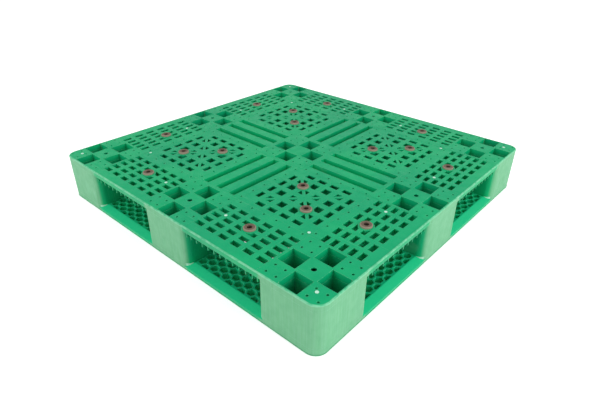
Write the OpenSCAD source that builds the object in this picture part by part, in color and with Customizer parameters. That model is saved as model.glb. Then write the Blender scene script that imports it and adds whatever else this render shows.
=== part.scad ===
// Square plastic pallet: a grid deck welded on nine hollow posts, which stand on a base frame with
// four wheel openings. Rubber plugs in the deck keep the load from sliding.
// Millimetres, +Z up, origin on the floor under the middle of the pallet.

/* [Pallet] */
// Length along X
pallet_l = 1100; // [1000:10:1300]
// Width along Y
pallet_w = 1100; // [1000:10:1300]
// Height of the load face above the floor
pallet_h = 150; // [138:1:180]
// Radius of the four vertical corners
corner_r = 35; // [26:1:50]
// Radius along the outer edge of the load face and of the floor face
edge_r = 4; // [1:0.5:6]
// Flat left under those two rounded edges
edge_land = 0.5; // [0.3:0.1:1]
// How far those two edges stand out over the posts
lip = 0.5; // [0.3:0.1:1]

/* [Posts] */
// Side of a square post
post_w = 188; // [170:1:200]
// Radius of a post's vertical edges
post_r = 25; // [10:1:28]
// Thickness of the walls around and between a post's nine cells
post_wall = 5; // [4:0.5:8]
// Thickness of the web across the outermost cell of a corner post
web_t = 3; // [2:0.5:6]

/* [Upper deck] */
// Thickness of the load plate
plate_t = 4; // [3:0.5:7]
// Drop of the outer bays and the cross below the plates of the posts; the inner bays lie twice as low
panel_drop = 0.4; // [0.2:0.1:1]
// How far each of these plates reaches over the lower one beside it
plate_lap = 1; // [0.5:0.5:1.5]
// Depth of the ribs below the load face
deck_h = 38; // [30:1:46]
// How much higher the ribs of the inner bays end
inner_rise = 2; // [1:0.5:6]
// Depth of the rim, the grooves and the plug bosses, down to the tops of the posts
rim_h = 19; // [14:1:26]
// Thickness of the rim
rim_t = 6; // [4:0.5:10]
// Distance of the rim from the pallet's edge
rim_inset = 2.5; // [1.5:0.5:4]
// Thickness of the ribs
rib_t = 3; // [2.5:0.5:5]
// Gap between the ends of the ribs and the sides of the posts
rib_gap = 0.3; // [0.1:0.1:1]

/* [Deck holes] */
// Pitch of the holes along a bay
hole_pitch = 46; // [40:1:54]
// Length of a hole along a bay
hole_l = 31; // [20:1:34]
// Side of a square hole in an inner bay
square_hole = 27; // [20:1:34]
// Pitch of the rows of holes across an outer bay
row_pitch = 27.5; // [25:0.5:34]
// Width of a hole across an outer bay
row_hole = 16; // [8:0.5:18]
// Plain border between the pallet's edge and the first row of holes
border = 33; // [29:1:42]
// Plain strip between the posts' inner faces and the last row of holes
inner_strip = 26; // [18:1:34]
// Width of the narrow holes around an inner bay
slit_w = 18; // [10:1:19]
// Web between the square holes and the narrow holes of an inner bay
slit_web = 16; // [8:1:18]
// Width of the diagonal straps across an inner bay
strap_w = 9; // [5:1:14]
// Diameter of the plain patch in the middle of an inner bay
patch_d = 34; // [20:1:44]
// Diameter of the small drain holes
drain_d = 7; // [4:0.5:10]
// Distance of a post's drain holes from the middle of their cell
drain_off = 15.5; // [10:0.5:18]
// Distance of the drain holes beside a bay from the bay's edge
drain_edge = 5; // [4.5:0.5:8]
// Diameter of the hole in the middle of an outer post
vent_d = 15; // [8:1:20]
// Diameter of the moulding marks on the load face
mark_d = 9; // [5:0.5:14]
// Height of the moulding marks
mark_h = 1; // [0.5:0.1:2]
// Distance of the moulding marks from their bay or corner
mark_gap = 10; // [6:1:14]

/* [Grooves in the deck's cross] */
// Grooves side by side in each arm of the cross
groove_count = 3; // [1:1:3]
// Width of a groove
groove_w = 24; // [12:1:30]
// Pitch of the grooves
groove_pitch = 57; // [45:1:62]
// Distance of a groove's ends from the middle post
groove_start = 12; // [8:1:30]
// Distance of a groove's ends from the outer post
groove_end = 8; // [7:1:30]
// Thickness of the walls and floor around a groove
groove_wall = 3; // [2:0.5:5]

/* [Grip plugs] */
// Diameter of a plug's head
plug_d = 34; // [28:1:42]
// Height of the head above the load face
plug_rise = 5; // [2:0.5:8]
// Diameter of the hole in the deck that a plug is pressed into
plug_bore = 22; // [14:1:24]
// Gap around a plug's stem in its hole
plug_fit = 0.2; // [0.1:0.05:0.5]
// Gap between the deck and a plug's barb
barb_fit = 0.3; // [0.1:0.1:1]
// Diameter of the barb that holds a plug from below
barb_d = 29; // [26:0.5:32]
// Length of the barb
barb_h = 9; // [5:0.5:12]
// Diameter of the hollow in a plug's head
dimple_d = 15; // [8:1:18]
// Depth of the hollow
dimple_h = 7; // [2:0.5:12]
// Diameter of the boss around a plug
boss_d = 44; // [36:1:50]

/* [Base frame] */
// Thickness of the base frame
base_h = 22; // [18:1:30]
// Thickness of its floor skin
skin_t = 5; // [4:0.5:9]
// Height of the step where forks enter
step_h = 12; // [10:0.5:16]
// Length of the ramp above that step
ramp_l = 23; // [15:1:40]
// Width of the band around the edge
band_w = 172; // [150:1:180]
// Width of the arms of the base's cross
arm_w = 168; // [140:1:180]
// Width across the flats of a honeycomb hole
comb_hole = 22.5; // [14:0.5:23]
// Pitch of the honeycomb
comb_pitch = 27.5; // [25:0.5:34]
// Gap between the honeycomb and the floor
comb_rise = 0.5; // [0.2:0.1:2]
// Thickness of the wall around the honeycomb
comb_wall = 3; // [2:0.5:6]
// Width of the grooves in an arm's floor face
slot_w = 14; // [8:1:20]
// Distance of those grooves from the middle of the arm
slot_off = 29.5; // [24:0.5:36]
// Pitch of the small holes along an arm
pin_pitch = 23; // [18:1:30]
// Distance of the outer rows of small holes from the middle of the arm
pin_off = 59; // [50:1:64]
// Hollows across the top of an arm
arm_cells = 3; // [2:1:4]

/* [Hidden] */
$fn = 48;
cut = 1;
sides = [-1, 1];
thirds = [-1, 0, 1];
deck_green = [0.18, 0.62, 0.42];
post_green = [0.36, 0.72, 0.52];
base_green = [0.16, 0.56, 0.38];
plug_brown = [0.42, 0.26, 0.22];

post_top = pallet_h - rim_h;
rib_bottom = pallet_h - deck_h;
plate_bottom = pallet_h - plate_t;
low_face = pallet_h - panel_drop;
low_bottom = plate_bottom - panel_drop;
inner_face = low_face - panel_drop;
inner_bottom = low_bottom - panel_drop;
cell = (post_w - 4 * post_wall) / 3;
cell_pitch = cell + post_wall;
skin_r = min(edge_r, plate_t - edge_land, skin_t - edge_land);

// Length and middle of the bays between the posts, along a side of the pallet
function bay_len(side) = (side - 3 * post_w) / 2 - lip;
function bay_mid(side) = (post_w + bay_len(side)) / 2;
bay_l = bay_len(pallet_l);
bay_w = bay_len(pallet_w);
bay_x = bay_mid(pallet_l);
bay_y = bay_mid(pallet_w);
bay_d = post_w + lip;
rim_d = rim_inset + rim_t;

// Holes along a bay, and ribs midway between them and close to the posts at both ends
function spread(n, pitch) = [for (k = [0:1:n - 1]) (k - (n - 1) / 2) * pitch];
function hole_places(bay) = spread(floor((bay - 2 * rib_t + hole_pitch - hole_l) / hole_pitch), hole_pitch);
function rib_places(bay) = concat([rib_gap + (rib_t - bay) / 2],
    spread(len(hole_places(bay)) - 1, hole_pitch), [(bay - rib_t) / 2 - rib_gap]);

// Rows of holes across an outer bay, and the ribs along them, measured from the pallet's edge
rows = floor((bay_d - border - inner_strip + row_pitch - row_hole) / row_pitch);
row_places = [for (k = [0:1:rows - 1]) border + row_hole / 2 + k * row_pitch];
row_ribs = [for (k = [0:1:rows]) border + row_hole / 2 + (k - 0.5) * row_pitch];

// Distance of an inner bay's narrow holes from its middle
function slit_place(bay) = (len(hole_places(bay)) - 3) / 2 * hole_pitch
    + (square_hole + slit_w) / 2 + slit_web;
slit_x = slit_place(bay_l);
slit_y = slit_place(bay_w);

// Plugs stand where ribs cross: two on the diagonal of each inner bay, one in each outer bay
plug_row = row_ribs[3];
plug_places = concat(
    [for (sx = sides, sy = sides, k = sides)
        [sx * (bay_x + k * hole_pitch), sy * (bay_y + k * hole_pitch)]],
    [for (sx = sides, sy = sides) [sx * bay_x, sy * (pallet_w / 2 - plug_row)]],
    [for (sx = sides, sy = sides) [sx * (pallet_l / 2 - plug_row), sy * bay_y]]);

post_places = [for (i = thirds, j = thirds) [i, j]];
across = ["left", "mid", "right"];
deep = ["front", "mid", "back"];

function post_name(p) = p == [0, 0] ? "center_post" : p.x == 0 ? str(deep[p.y + 1], "_post")
    : p.y == 0 ? str(across[p.x + 1], "_post") : str(deep[p.y + 1], "_", across[p.x + 1], "_post");
function plug_name(k) = str("grip_plug_", k < 10 ? "0" : "", k);
function post_at(p) = [p.x * ((pallet_l - post_w) / 2 - lip), p.y * ((pallet_w - post_w) / 2 - lip)];
function is_corner(p) = abs(p.x) + abs(p.y) == 2;

// Flat shapes

module rounded(l, w, r) {
    square([l - 2 * r, w], center = true);
    square([l, w - 2 * r], center = true);
    for (sx = sides, sy = sides)
        translate([sx * (l / 2 - r), sy * (w / 2 - r)])
            circle(r);
}

module pallet_outline(inset = 0) {
    rounded(pallet_l - 2 * inset, pallet_w - 2 * inset, corner_r - inset);
}

module post_outline(p, inset = 0) {
    intersection() {
        translate(post_at(p))
            rounded(post_w - 2 * inset, post_w - 2 * inset, post_r - inset);
        pallet_outline(lip + inset);
    }
}

// The five cells at a post's corners and middle, which open downwards
module low_cells(p) {
    intersection() {
        translate(post_at(p))
            for (a = thirds, b = thirds)
                if ((a + b) % 2 == 0)
                    translate([a, b] * cell_pitch)
                        square(cell, center = true);
        post_outline(p, post_wall);
    }
}

// The four cells along a post's sides, which open upwards
module high_cells(p) {
    translate(post_at(p))
        for (a = thirds, b = thirds)
            if ((a + b) % 2 != 0)
                translate([a, b] * cell_pitch)
                    square(cell, center = true);
}

// A thin web across the outermost cell of a corner post
module corner_web(p) {
    if (is_corner(p))
        intersection() {
            translate(post_at(p) + p * cell_pitch)
                rotate(45 * p.x * p.y)
                    square([2 * cell, web_t], center = true);
            translate(post_at(p) + p * cell_pitch)
                square(cell + post_wall, center = true);
            post_outline(p, post_wall / 2);
        }
}

module post_walls(p) {
    difference() {
        post_outline(p);
        low_cells(p);
        high_cells(p);
    }
    corner_web(p);
}

module drains(places) {
    for (d = places)
        translate(d)
            circle(d = drain_d);
}

// Drain holes in the plates over the low cells (odd = 0) or under the high cells (odd = 1)
function cell_drains(p, odd) = [for (a = thirds, b = thirds, sx = sides, sy = sides)
    if (abs(a + b) % 2 == odd && [a, b] != [0, 0])
        post_at(p) + [a, b] * cell_pitch + [sx, sy] * drain_off];

module holes(places, size) {
    for (p = places)
        translate(p)
            square(size, center = true);
}

// Bays: each is drawn once and repeated around the pallet

// Outer bays lie along the edge: X runs along the edge, Y inwards from it
module on_outer_bays() {
    for (s = sides) {
        for (turn = [0, 180])
            rotate(turn)
                translate([s * bay_x, -pallet_w / 2])
                    let ($bay = bay_l, $side = s)
                        children();
        for (turn = [90, 270])
            rotate(turn)
                translate([s * bay_y, -pallet_l / 2])
                    let ($bay = bay_w, $side = s)
                        children();
    }
}

// Arms of the cross lie between the middle posts, with X along the arm and away from the centre
module on_arms() {
    for (turn = [0, 180]) {
        rotate(turn)
            translate([bay_x, 0])
                let ($bay = bay_l)
                    children();
        rotate(turn + 90)
            translate([bay_y, 0])
                let ($bay = bay_w)
                    children();
    }
}

module layer(low, high) {
    translate([0, 0, low])
        linear_extrude(high - low)
            children();
}

// Outer bay of the upper deck: rows of holes, a rim, ribs square to the edge and one plug

module outer_plate() {
    difference() {
        translate([-$bay / 2, skin_r])
            square([$bay, bay_d - skin_r + plate_lap]);
        difference() {
            holes([for (x = hole_places($bay), y = row_places) [x, y]], [hole_l, row_hole]);
            translate([0, plug_row])
                circle(d = boss_d);
        }
        drains([for (x = hole_places($bay)) [x, bay_d - drain_edge]]);
        translate([0, plug_row])
            circle(d = plug_bore);
    }
}

module outer_ribs() {
    holes([for (x = rib_places($bay)) [x, (rim_d + bay_d) / 2]], [rib_t, bay_d - rim_d]);
    holes([for (x = hole_places($bay)) [x, (rim_d + row_ribs[0]) / 2]], [rib_t, row_ribs[0] - rim_d]);
    translate([0, row_ribs[0]])
        square([$bay - 2 * rib_gap, rib_t], center = true);
}

module outer_bay() {
    layer(low_bottom, low_face)
        outer_plate();
    layer(low_face, low_face + mark_h)
        translate([-$side * 2 * hole_pitch, plug_row])
            circle(d = mark_d);
    layer(post_top, low_bottom)
        difference() {
            union() {
                outer_ribs();
                holes([for (k = [1:1:rows]) [0, row_ribs[k]]], [$bay - 2 * rib_gap, rib_t]);
                translate([0, plug_row])
                    circle(d = boss_d);
            }
            translate([0, plug_row])
                circle(d = plug_bore);
        }
    layer(post_top, plate_bottom)
        translate([-$bay / 2 - post_r, rim_inset])
            square([$bay + 2 * post_r, rim_t]);
    layer(rib_bottom, post_top)
        difference() {
            outer_ribs();
            translate([0, plug_row])
                circle(d = boss_d);
        }
}

// Inner bay of the upper deck: square holes with narrow ones around them, less two diagonal straps

module straps(width) {
    for (s = sides)
        rotate(s * atan2(slit_y, slit_x))
            square([2 * norm([slit_x, slit_y]), width], center = true);
}

module plug_pair(d, diagonal) {
    for (k = sides)
        translate([k, k * diagonal] * hole_pitch)
            circle(d = d);
}

module inner_plate(diagonal) {
    inner_x = spread(len(hole_places(bay_l)) - 2, hole_pitch);
    inner_y = spread(len(hole_places(bay_w)) - 2, hole_pitch);
    difference() {
        square([bay_l, bay_w], center = true);
        difference() {
            union() {
                holes([for (x = inner_x, y = inner_y) [x, y]], [square_hole, square_hole]);
                holes([for (x = inner_x, s = sides) [x, s * slit_y]], [hole_l, slit_w]);
                holes([for (y = inner_y, s = sides) [s * slit_x, y]], [slit_w, hole_l]);
            }
            straps(strap_w);
            circle(d = patch_d);
            plug_pair(boss_d, diagonal);
        }
        plug_pair(plug_bore, diagonal);
    }
}

module inner_ribs() {
    holes([for (x = rib_places(bay_l)) [x, 0]], [rib_t, bay_w]);
    holes([for (y = rib_places(bay_w)) [0, y]], [bay_l, rib_t]);
    straps(rib_t);
}

module inner_bay(diagonal) {
    layer(inner_bottom, inner_face)
        inner_plate(diagonal);
    layer(post_top, inner_bottom)
        difference() {
            union() {
                inner_ribs();
                plug_pair(boss_d, diagonal);
            }
            plug_pair(plug_bore, diagonal);
        }
    layer(rib_bottom + inner_rise, post_top)
        difference() {
            inner_ribs();
            plug_pair(boss_d, diagonal);
        }
}

// Arm of the upper deck's cross: closed grooves side by side, over ribs that cross the arm

module grooves(grow = 0) {
    shift = (groove_start - groove_end) / 2;
    long = $bay - groove_start - groove_end + 2 * grow;
    holes([for (y = spread(groove_count, groove_pitch)) [shift, y]], [long, groove_w + 2 * grow]);
}

module arm_ribs() {
    holes([for (x = rib_places($bay)) [x, 0]], [rib_t, post_w]);
}

module deck_arm() {
    layer(low_bottom, low_face)
        difference() {
            square([$bay, post_w + 2 * plate_lap], center = true);
            grooves();
            drains([for (x = hole_places($bay), s = sides) [x, s * (post_w / 2 - drain_edge)]]);
        }
    layer(post_top - groove_wall, low_bottom)
        difference() {
            union() {
                arm_ribs();
                grooves(groove_wall);
            }
            grooves();
        }
    layer(post_top - groove_wall, post_top)
        grooves(groove_wall);
    layer(rib_bottom, post_top)
        arm_ribs();
}

// Part of the upper deck over a post: plates over the low cells, and the walls between the cells
module post_head(p) {
    layer(plate_bottom, pallet_h)
        difference() {
            intersection() {
                translate(post_at(p))
                    square(post_w + 2 * plate_lap, center = true);
                pallet_outline(skin_r);
            }
            high_cells(p);
            drains(cell_drains(p, 0));
            if (p != [0, 0])
                translate(post_at(p))
                    circle(d = vent_d);
        }
    layer(post_top, plate_bottom)
        post_walls(p);
}

// Rounded edge all around, t high, with its round corner at the top
module edge_ring(t) {
    for (turn = [0:3])
        rotate(90 * turn) {
            half_l = (turn % 2 == 0 ? pallet_l : pallet_w) / 2;
            half_w = (turn % 2 == 0 ? pallet_w : pallet_l) / 2;
            translate([half_l - skin_r, half_w - corner_r, 0])
                rotate([90, 0, 0])
                    linear_extrude(2 * (half_w - corner_r))
                        edge_profile(t);
            translate([half_l - corner_r, half_w - corner_r, 0])
                rotate_extrude(angle = 90)
                    translate([corner_r - skin_r, 0])
                        edge_profile(t);
        }
}

module edge_profile(t) {
    square([skin_r, t - skin_r]);
    intersection() {
        translate([0, t - skin_r])
            circle(skin_r);
        square([skin_r, t]);
    }
}

// Small round marks that the moulding leaves on the load face
module marks(at) {
    for (sx = sides, sy = sides)
        translate([sx * at.x, sy * at.y])
            circle(d = mark_d);
}

module upper_deck() {
    color(deck_green) {
        on_outer_bays()
            outer_bay();
        for (sx = sides, sy = sides)
            translate([sx * bay_x, sy * bay_y])
                inner_bay(sx * sy);
        on_arms()
            deck_arm();
        for (p = post_places)
            post_head(p);
        translate([0, 0, plate_bottom])
            edge_ring(plate_t);
        layer(pallet_h, pallet_h + mark_h)
            marks([pallet_l, pallet_w] / 2 - [1, 1] * (corner_r + mark_gap / 2));
        layer(inner_face, inner_face + mark_h)
            marks([bay_x, bay_y] + [bay_l, bay_w] / 2 - [1, 1] * mark_gap);
    }
}

module post(p) {
    color(post_green)
        layer(base_h, post_top)
            post_walls(p);
}

// Base frame

module wheel_openings() {
    inner = [arm_w, arm_w] / 2;
    outer = [pallet_l, pallet_w] / 2 - [band_w, band_w];
    for (sx = sides, sy = sides)
        translate([sx * (inner.x + outer.x), sy * (inner.y + outer.y)] / 2)
            square(outer - inner, center = true);
}

module frame_outline(inset) {
    difference() {
        pallet_outline(inset);
        wheel_openings();
    }
}

// Part of an outer bay that is a honeycomb, from the ramp to the inner side of the band
module comb_field(inset = 0) {
    translate([inset - $bay / 2, ramp_l + inset])
        square([$bay - 2 * inset, band_w - ramp_l - 2 * inset]);
}

// Staggered lines of six-sided holes, those at the border cut by the wall around them
module comb() {
    line_pitch = comb_pitch * sin(60);
    tip = comb_hole / cos(30);
    lines = floor(($bay - 2 * comb_wall - tip / 2) / line_pitch) + 1;
    room = band_w - ramp_l;
    count = floor((room - 2 * comb_wall - comb_hole) / comb_pitch) + 1;
    difference() {
        comb_field();
        intersection() {
            comb_field(comb_wall);
            for (k = [0:1:lines - 1], y = spread(count + k % 2, comb_pitch))
                translate([(k - (lines - 1) / 2) * line_pitch, ramp_l + room / 2 + y])
                    circle(d = tip, $fn = 6);
        }
    }
}

module floor_skin() {
    difference() {
        intersection() {
            union() {
                frame_outline(skin_r);
                for (p = post_places)
                    post_outline(p);
            }
            pallet_outline(skin_r);
        }
        on_outer_bays()
            comb_field();
        for (p = post_places) {
            difference() {
                low_cells(p);
                corner_web(p);
            }
            drains(cell_drains(p, 1));
        }
        on_arms() {
            pins = floor(($bay - pin_pitch) / pin_pitch) + 1;
            holes([for (s = sides) [0, s * slot_off]], [$bay - 2 * groove_start, slot_w]);
            drains([for (x = spread(pins, pin_pitch), s = thirds) [x, s * pin_off]]);
        }
    }
}

// Hollows in the top of an arm, between its walls
module arm_hollows() {
    wide = (arm_w - (arm_cells + 1) * post_wall) / arm_cells;
    count = len(hole_places($bay));
    long = ($bay - (count + 1) * post_wall) / count;
    holes([for (x = spread(count, long + post_wall), y = spread(arm_cells, wide + post_wall)) [x, y]],
        [long, wide]);
}

module frame_body() {
    difference() {
        frame_outline(lip);
        for (p = post_places)
            post_outline(p);
        on_outer_bays()
            comb_field();
        on_arms()
            arm_hollows();
    }
}

// Wedge over the ramp where forks enter, reaching round the posts' edges
module ramp_cut() {
    rise = base_h - step_h;
    translate([-$bay / 2 - post_r, 0, base_h])
        rotate([90, 0, 90])
            linear_extrude($bay + 2 * post_r)
                polygon([[-cut, cut], [-cut, -rise * (1 + cut / ramp_l)], [ramp_l, 0], [ramp_l, cut]]);
}

module base_frame() {
    color(base_green) {
        layer(0, skin_t)
            floor_skin();
        translate([0, 0, skin_t])
            mirror([0, 0, 1])
                edge_ring(skin_t);
        difference() {
            layer(skin_t, base_h)
                frame_body();
            on_outer_bays()
                ramp_cut();
        }
        layer(skin_t, base_h)
            for (p = post_places)
                post_walls(p);
        on_outer_bays()
            layer(comb_rise, base_h)
                comb();
    }
}

// A rubber plug: a ring-shaped head on the load face, a stem through the deck and a barb below it
module grip_plug(place, face) {
    head_r = plug_d / 2;
    rise = pallet_h + plug_rise - face;
    stem_r = plug_bore / 2 - plug_fit;
    barb_top = post_top - face - barb_fit;
    round_r = plug_rise / 2;
    color(plug_brown)
        translate([place.x, place.y, face])
            rotate_extrude()
                difference() {
                    union() {
                        square([head_r, rise - round_r]);
                        square([head_r - round_r, rise]);
                        translate([head_r - round_r, rise - round_r])
                            circle(round_r);
                        translate([0, barb_top])
                            square([stem_r, round_r - barb_top]);
                        translate([0, barb_top])
                            polygon([[0, -barb_h], [dimple_d / 2, -barb_h],
                                [barb_d / 2, -barb_h / 3], [barb_d / 2, 0], [0, 0]]);
                    }
                    translate([0, rise - dimple_h])
                        square([dimple_d / 2, dimple_h + cut]);
                }
}

upper_deck();
base_frame();
for (p = post_places)
    post(p);
for (k = [1:len(plug_places)])
    grip_plug(plug_places[k - 1], k > 8 ? low_face : inner_face);
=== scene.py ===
import math

import bpy
from mathutils import Matrix, Vector

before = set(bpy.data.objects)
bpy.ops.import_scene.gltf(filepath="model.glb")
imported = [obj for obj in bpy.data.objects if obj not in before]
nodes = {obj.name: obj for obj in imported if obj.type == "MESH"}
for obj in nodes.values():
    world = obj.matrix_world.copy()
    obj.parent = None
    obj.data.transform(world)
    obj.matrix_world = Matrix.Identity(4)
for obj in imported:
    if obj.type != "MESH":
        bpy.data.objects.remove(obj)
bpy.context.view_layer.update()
scene = bpy.context.scene
scene.view_settings.view_transform = "Standard"

POST_NAMES = [name for name in nodes if name.endswith("_post")]
PLUG_NAMES = [name for name in nodes if name.startswith("grip_plug_")]

# Places across the pallet, in metres from its middle. A mask fades between the two values of a pair.
BAY_START, BAY_END = 0.0942, 0.3613
BAY_FADE_OUT, BAY_FADE_IN = 0.016, 0.002
ROUNDING_START = 0.515
OUTER_WALLS = (0.520, 0.524)

# Distances past the start of the corners' rounding, with 0.035 on the outline
FROST_AND_SHEEN_SKIN = (0.0225, 0.0325)
TOP_EDGE_SKIN = (0.0305, 0.0325)
FOOT_SKIN = (0.0290, 0.0315)
FOOT_WALL_START, FOOT_WALL_END = (0.0105, 0.0125), (0.0325, 0.0300)

# Heights above the floor
FOOT_LINE = (0.0075, 0.0025)
STEP_TOP = (0.0115, 0.0125)
RAMP_TOP = (0.0235, 0.0225)
TOP_EDGE = (0.1455, 0.1470)
MARK_TOPS = (0.15003, 0.15015)

# Shares of a colour that show where its mask is full
BAY_FROST_AND_SHEEN = 0.16
CLOUDING = 0.22
SCUFFING = 0.22
EDGE_WEAR_AND_LIGHT = 0.6
HOLLOW_LIGHT_SHARE = 0.45
RAMP_LIGHT_SHARE = 0.9
MARK_SHINE = 0.85
FOOT_SHINE = 0.6
PLUG_SHADE = 0.85


def colour(red, green, blue):
    """A linear colour from the 0 to 255 values that a screen shows."""
    linear = []
    for value in (red / 255, green / 255, blue / 255):
        linear.append(value / 12.92 if value <= 0.04 else ((value + 0.055) / 1.055) ** 2.4)
    return (*linear, 1.0)


DEEP = colour(8, 174, 112)
DEEP_COOL = colour(4, 164, 110)
# Painted light: the base frame's green is brighter than the deck's, to offset the shade it lies in
BASE_LIT = colour(20, 188, 126)
BASE_LIT_COOL = colour(14, 180, 124)
# Painted light: a brighter green for the insides of hollows
HOLLOW_LIGHT = colour(0, 198, 118)
# Painted shade: a darker green for the foot of the base
FOOT_SHADE = colour(0, 112, 66)
# Painted sheen: pale colours for the outer faces, standing for reflected white light
SHEEN_PALE = colour(107, 177, 131)
SHEEN_PALE_COOL = colour(120, 183, 143)
# Painted light: a brighter green for the ramps
RAMP_LIGHT = colour(26, 194, 133)
# Wear for the scuffs, and a painted highlight on the edges and the deck's top edge
WEAR_AND_HIGHLIGHT = colour(150, 218, 180)
# Painted highlight colour for the moulding marks and the posts' feet
GLINT = colour(206, 244, 226)
CLOUD_TINT = (0.62, 0.78, 0.74, 1.0)

RUBBER = colour(97, 80, 67)
RUBBER_LIGHT = colour(113, 95, 80)
RUBBER_RIM = colour(148, 136, 119)
# Painted shade for the plugs' hollows
RUBBER_HOLLOW_SHADE = colour(34, 25, 20)


class Net:
    """A node tree, with short calls for the nodes that are used here."""

    def __init__(self, tree):
        self.tree = tree

    def node(self, kind, **settings):
        made = self.tree.nodes.new(kind)
        for key, value in settings.items():
            setattr(made, key, value)
        return made

    def put(self, socket, value):
        if isinstance(value, bpy.types.NodeSocket):
            self.tree.links.new(value, socket)
        else:
            socket.default_value = value

    def math(self, operation, *values):
        made = self.node("ShaderNodeMath", operation=operation)
        for socket, value in zip(made.inputs, values):
            self.put(socket, value)
        return made.outputs[0]

    def product(self, first, *others):
        for other in others:
            first = self.math("MULTIPLY", first, other)
        return first

    def length(self, first, second):
        return self.math("SQRT", self.math("ADD", self.product(first, first), self.product(second, second)))

    def dot(self, first, second):
        made = self.node("ShaderNodeVectorMath", operation="DOT_PRODUCT")
        self.put(made.inputs[0], first)
        self.put(made.inputs[1], second)
        return made.outputs["Value"]

    def xyz(self, vector):
        made = self.node("ShaderNodeSeparateXYZ")
        self.put(made.inputs[0], vector)
        return made.outputs

    def ramp(self, value, low, high, to_low=0.0, to_high=1.0):
        made = self.node("ShaderNodeMapRange", interpolation_type="SMOOTHSTEP")
        self.put(made.inputs["Value"], value)
        self.put(made.inputs["From Min"], low)
        self.put(made.inputs["From Max"], high)
        self.put(made.inputs["To Min"], to_low)
        self.put(made.inputs["To Max"], to_high)
        return made.outputs["Result"]

    def noise(self, where, scale, detail=3.0, turn=0.0, stretch=None):
        if stretch is not None:
            mapping = self.node("ShaderNodeMapping")
            self.put(mapping.inputs["Vector"], where)
            mapping.inputs["Rotation"].default_value = (0, 0, turn)
            mapping.inputs["Scale"].default_value = stretch
            where = mapping.outputs[0]
        made = self.node("ShaderNodeTexNoise")
        self.put(made.inputs["Vector"], where)
        made.inputs["Scale"].default_value = scale
        made.inputs["Detail"].default_value = detail
        made.inputs["Roughness"].default_value = 0.55
        return made.outputs["Fac"]

    def mix(self, factor, first, second, blend="MIX"):
        made = self.node("ShaderNodeMix", data_type="RGBA", blend_type=blend)
        self.put(made.inputs["Factor"], factor)
        self.put(made.inputs["A"], first)
        self.put(made.inputs["B"], second)
        return made.outputs["Result"]

    def recess(self, distance):
        made = self.node("ShaderNodeAmbientOcclusion", samples=8)
        made.inputs["Distance"].default_value = distance
        return made.outputs["AO"]

    def rounding(self, radius):
        made = self.node("ShaderNodeBevel", samples=6)
        made.inputs["Radius"].default_value = radius
        return made.outputs[0]

    def bump(self, height, strength, distance, below):
        made = self.node("ShaderNodeBump")
        made.inputs["Strength"].default_value = strength
        made.inputs["Distance"].default_value = distance
        self.put(made.inputs["Height"], height)
        self.put(made.inputs["Normal"], below)
        return made.outputs[0]

    def seen(self):
        """1 for what the camera, a reflection or glass sees, 0 for what lights the object."""
        path = self.node("ShaderNodeLightPath").outputs
        direct = self.math("MAXIMUM", path["Is Camera Ray"], path["Is Glossy Ray"])
        return self.math("MAXIMUM", direct, path["Is Transmission Ray"])


def new_material(name):
    """A material with its node tree and the sockets of its shader."""
    material = bpy.data.materials.new(name)
    material.use_nodes = True
    sockets = material.node_tree.nodes["Principled BSDF"].inputs
    return material, Net(material.node_tree), sockets


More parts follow.
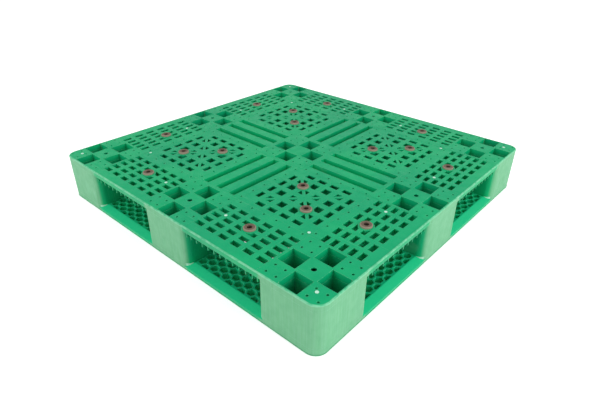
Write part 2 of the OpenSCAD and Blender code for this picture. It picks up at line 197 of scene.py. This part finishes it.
def green_plastic(name, post=False, greens=(DEEP, DEEP_COOL)):
    """Moulded plastic: deep green with grain and scuffs, rougher frosted outer faces paled by a painted
    sheen, edges rubbed paler in part and in part given a painted highlight, and hollows brightened as
    painted light; off the posts also painted light on the ramps, painted highlights on the top edge, the
    marks and the posts' feet, and a painted shade line at the foot.
    """
    material, net, sockets = new_material(name)
    coordinates = net.node("ShaderNodeTexCoord")
    where = coordinates.outputs["Object"]
    x, y, z = net.xyz(where)
    normal_x, normal_y, normal_z = net.xyz(coordinates.outputs["Normal"])
    across, along = net.math("ABSOLUTE", x), net.math("ABSOLUTE", y)
    level = net.math("ABSOLUTE", normal_z)
    upright = net.ramp(level, 0.55, 0.25)

    # How far a point lies past the start of the corners' rounding: 0.035 on the outline, less inside
    past = [net.math("MAXIMUM", net.math("SUBTRACT", way, ROUNDING_START), 0.0) for way in (across, along)]
    near = net.length(*past)

    # Outer faces are frosted: a little rougher, and paled by a painted sheen that stands for reflected
    # white light; the inner sides of the outer walls, which face the middle, stay deep green
    outward = []
    for normal, place, way in ((normal_x, x, across), (normal_y, y, along)):
        outward.append(net.product(normal, net.math("SIGN", place), net.ramp(way, *OUTER_WALLS)))
    frost_and_sheen = net.product(net.ramp(near, *FROST_AND_SHEEN_SKIN), upright)
    frost_and_sheen = net.product(frost_and_sheen, net.ramp(net.math("MINIMUM", *outward), -0.6, -0.2))
    if not post:
        inner = net.math("MINIMUM", across, along)
        in_bay = net.product(
            net.ramp(inner, BAY_START - BAY_FADE_OUT, BAY_START + BAY_FADE_IN),
            net.ramp(inner, BAY_END + BAY_FADE_OUT, BAY_END - BAY_FADE_IN))
        frost_and_sheen = net.product(frost_and_sheen, net.ramp(in_bay, 0.0, 1.0, 1.0, BAY_FROST_AND_SHEEN))

    # Colour of the plastic, clouded a little
    broad = net.noise(where, 5.0)
    middle = net.noise(where, 38.0, detail=4.0)
    streaks = net.noise(where, 1.0, stretch=(260, 260, 9))
    deep = net.mix(net.ramp(broad, 0.35, 0.65), *greens)
    sheen = net.mix(net.ramp(streaks, 0.3, 0.7), SHEEN_PALE, SHEEN_PALE_COOL)
    sheen = net.mix(net.ramp(broad, 0.3, 0.7, 0.0, 0.35), sheen, SHEEN_PALE_COOL)
    # Painted sheen: the outer faces are mixed towards pale
    skin = net.mix(frost_and_sheen, deep, sheen)
    clouded = net.mix(1.0, skin, CLOUD_TINT, "MULTIPLY")
    skin = net.mix(net.ramp(middle, 0.35, 0.68, 0.0, CLOUDING), skin, clouded)

    # Fine scuffs in patches, in two directions
    scuffs = []
    for turn, patch_scale in ((0.35, 6.0), (1.25, 6.7)):
        lines = net.noise(where, 1.0, detail=4.0, turn=turn, stretch=(9, 420, 9))
        patch = net.noise(where, patch_scale, detail=2.0)
        scuffs.append(net.product(net.ramp(lines, 0.6, 0.74), net.ramp(patch, 0.5, 0.66)))
    scuffed = net.product(net.math("MAXIMUM", *scuffs), SCUFFING)
    skin = net.mix(scuffed, skin, WEAR_AND_HIGHLIGHT)

    # Open edges are rubbed paler, partly wear and partly a painted highlight, and the insides of hollows
    # are mixed towards a brighter green, painted light in the recesses
    rounding = net.rounding(0.0016)
    surface = net.node("ShaderNodeNewGeometry").outputs["Normal"]
    turned = net.math("SUBTRACT", 1.0, net.dot(rounding, surface))
    hidden = net.recess(0.04)
    wear_and_light = net.product(net.ramp(net.noise(where, 90.0), 0.3, 0.66, 0.35, 1.0), EDGE_WEAR_AND_LIGHT)
    edge = net.product(net.ramp(turned, 0.015, 0.2), net.ramp(hidden, 0.42, 0.8))
    # Edges rubbed paler: wear, and in part a painted highlight
    skin = net.mix(net.product(edge, wear_and_light), skin, WEAR_AND_HIGHLIGHT)
    # Painted light: recesses are mixed towards a brighter green
    skin = net.mix(net.ramp(hidden, 0.5, 0.1, 0.0, HOLLOW_LIGHT_SHARE), skin, HOLLOW_LIGHT)

    if not post:
        # The ramps get a brighter green, painted light against the shade under the deck; the deck's outer
        # top edge gets a painted highlight, and the foot of the base a painted shade line
        sloped = net.product(net.ramp(level, 0.5, 0.7), net.ramp(level, 0.98, 0.96))
        ramps = net.product(sloped, net.ramp(z, *RAMP_TOP))
        skin = net.mix(net.product(ramps, RAMP_LIGHT_SHARE), skin, RAMP_LIGHT)
        # Painted highlight along the deck's outer top edge
        top_edge = net.product(net.ramp(near, *TOP_EDGE_SKIN), net.ramp(z, *TOP_EDGE))
        skin = net.mix(net.product(top_edge, wear_and_light), skin, WEAR_AND_HIGHLIGHT)
        # Painted shade line along the foot of the base
        foot_shade = net.product(net.ramp(near, *FOOT_SKIN), net.ramp(z, *FOOT_LINE))
        skin = net.mix(net.product(foot_shade, wear_and_light), skin, FOOT_SHADE)

        # Painted highlights on the moulding marks and on the walls that the ramps leave at the posts' feet
        marks = net.ramp(z, *MARK_TOPS, 0.0, MARK_SHINE)
        walls = net.product(net.ramp(near, *FOOT_WALL_START), net.ramp(near, *FOOT_WALL_END), upright)
        feet = net.product(walls, net.ramp(z, *STEP_TOP), net.ramp(z, *RAMP_TOP), FOOT_SHINE)
        skin = net.mix(net.math("MAXIMUM", marks, feet), skin, GLINT)

    net.put(sockets["Base Color"], skin)
    rough = net.math("ADD", net.ramp(middle, 0.3, 0.7, 0.42, 0.54), net.product(frost_and_sheen, 0.1))
    net.put(sockets["Roughness"], net.math("ADD", rough, net.product(scuffed, 0.3)))
    sockets["Specular IOR Level"].default_value = 0.14
    grain = net.bump(net.noise(where, 1500.0, detail=2.0), 0.22, 0.0004, rounding)
    waves = net.bump(net.noise(where, 24.0, detail=2.0), 0.18, 0.0012, grain)
    net.put(sockets["Normal"], waves)
    return material


def grip_rubber():
    """Brown rubber, with painted shade in its hollow and lighter towards its rim."""
    material, net, sockets = new_material("grip_rubber")
    coordinates = net.node("ShaderNodeTexCoord")
    where = coordinates.outputs["Object"]
    cloud = net.noise(where, 110.0, detail=4.0)
    specks = net.noise(where, 900.0, detail=2.0)

    # Distance from a plug's axis, 0.5 at the edge of its head
    off_axis = [net.math("SUBTRACT", part, 0.5) for part in net.xyz(coordinates.outputs["Generated"])[:2]]
    reach = net.length(*off_axis)

    skin = net.mix(net.ramp(cloud, 0.3, 0.7), RUBBER, RUBBER_LIGHT)
    lighter_rim = net.product(net.ramp(reach, 0.38, 0.48), net.ramp(specks, 0.35, 0.65, 0.7, 1.0))
    skin = net.mix(lighter_rim, skin, RUBBER_RIM)
    # Painted shade: the hollow darkens where the recess is deep
    hollow_shade = net.product(net.ramp(net.recess(0.012), 0.85, 0.3), net.ramp(reach, 0.3, 0.22))
    skin = net.mix(net.product(hollow_shade, PLUG_SHADE), skin, RUBBER_HOLLOW_SHADE)

    net.put(sockets["Base Color"], skin)
    net.put(sockets["Roughness"], net.ramp(cloud, 0.3, 0.7, 0.62, 0.78))
    sockets["Specular IOR Level"].default_value = 0.3
    net.put(sockets["Normal"], net.bump(specks, 0.3, 0.0005, net.rounding(0.0008)))
    return material


def dress(names, material):
    for name in names:
        slots = nodes[name].material_slots
        for slot in slots:
            slot.material = material
        if not slots:
            nodes[name].data.materials.append(material)


dress(["upper_deck"], green_plastic("deck_plastic"))
# Painted light: the base frame takes a brighter green than the deck, to offset its shade
dress(["base_frame"], green_plastic("base_plastic", greens=(BASE_LIT, BASE_LIT_COOL)))
dress(POST_NAMES, green_plastic("post_plastic", post=True))
dress(PLUG_NAMES, grip_rubber())


def camera_place(azimuth, elevation, roll, at):
    """The camera's matrix from its angles in degrees and its place in metres."""
    azimuth, elevation, roll = map(math.radians, (azimuth, elevation, roll))
    flat = math.cos(elevation)
    back = Vector((math.sin(azimuth) * flat, -math.cos(azimuth) * flat, math.sin(elevation)))
    right = Vector((math.cos(azimuth), math.sin(azimuth), 0))
    up = back.cross(right)
    side = right * math.cos(roll) + up * math.sin(roll)
    top = up * math.cos(roll) - right * math.sin(roll)
    matrix = Matrix((side, top, back)).transposed().to_4x4()
    matrix.translation = Vector(at)
    return matrix


# Camera: the photograph's viewpoint and direction, framed closer
lens = bpy.data.cameras.new("camera")
lens.sensor_width = 36
lens.lens = 28.6
camera = bpy.data.objects.new("camera", lens)
camera.matrix_world = camera_place(41.308, 30.404, 0.692, (0.99115, -1.11546, 0.82918))
scene.collection.objects.link(camera)
scene.camera = camera

# Floor and sky both show white behind the object, and the floor keeps the object's shadow
FLOOR_REACH = 30
FLOOR_GLOW = 0.45
SKY_LIGHT, SKY_SEEN = 0.68, 1.0

corners = [(sx * FLOOR_REACH, sy * FLOOR_REACH, 0) for sx, sy in ((-1, -1), (1, -1), (1, 1), (-1, 1))]
floor_mesh = bpy.data.meshes.new("floor")
floor_mesh.from_pydata(corners, [], [(0, 1, 2, 3)])
floor = bpy.data.objects.new("floor", floor_mesh)
scene.collection.objects.link(floor)
floor_material, floor_net, floor_sockets = new_material("floor")
floor_sockets["Base Color"].default_value = (0.9, 0.9, 0.9, 1)
floor_sockets["Roughness"].default_value = 0.9
floor_sockets["Specular IOR Level"].default_value = 0.0
floor_sockets["Emission Color"].default_value = (1, 1, 1, 1)
floor_net.put(floor_sockets["Emission Strength"], floor_net.product(floor_net.seen(), FLOOR_GLOW))
floor_mesh.materials.append(floor_material)

world = bpy.data.worlds.new("studio")
scene.world = world
world.use_nodes = True
sky = world.node_tree.nodes["Background"]
sky.inputs["Color"].default_value = (1, 1, 1, 1)
sky_net = Net(world.node_tree)
sky_net.put(sky.inputs["Strength"], sky_net.ramp(sky_net.seen(), 0.0, 1.0, SKY_LIGHT, SKY_SEEN))

# Softboxes, all aimed at the middle of the pallet; the one behind stays out of reflections
SOFTBOX_SIZE = 2.2
AIM = Vector((0, 0, 0.08))


def softbox(name, at, power, glossy=True):
    light = bpy.data.lights.new(name, "AREA")
    light.shape = "DISK"
    light.size = SOFTBOX_SIZE
    light.energy = power
    lamp = bpy.data.objects.new(name, light)
    lamp.location = at
    lamp.rotation_euler = (AIM - Vector(at)).to_track_quat("-Z", "Y").to_euler()
    lamp.visible_glossy = glossy
    scene.collection.objects.link(lamp)


softbox("key", (3.4, 0.2, 1.3), 68)
softbox("fill", (-1.2, -3.4, 1.5), 50)
softbox("back", (-2.8, 2.8, 0.6), 26, glossy=False)
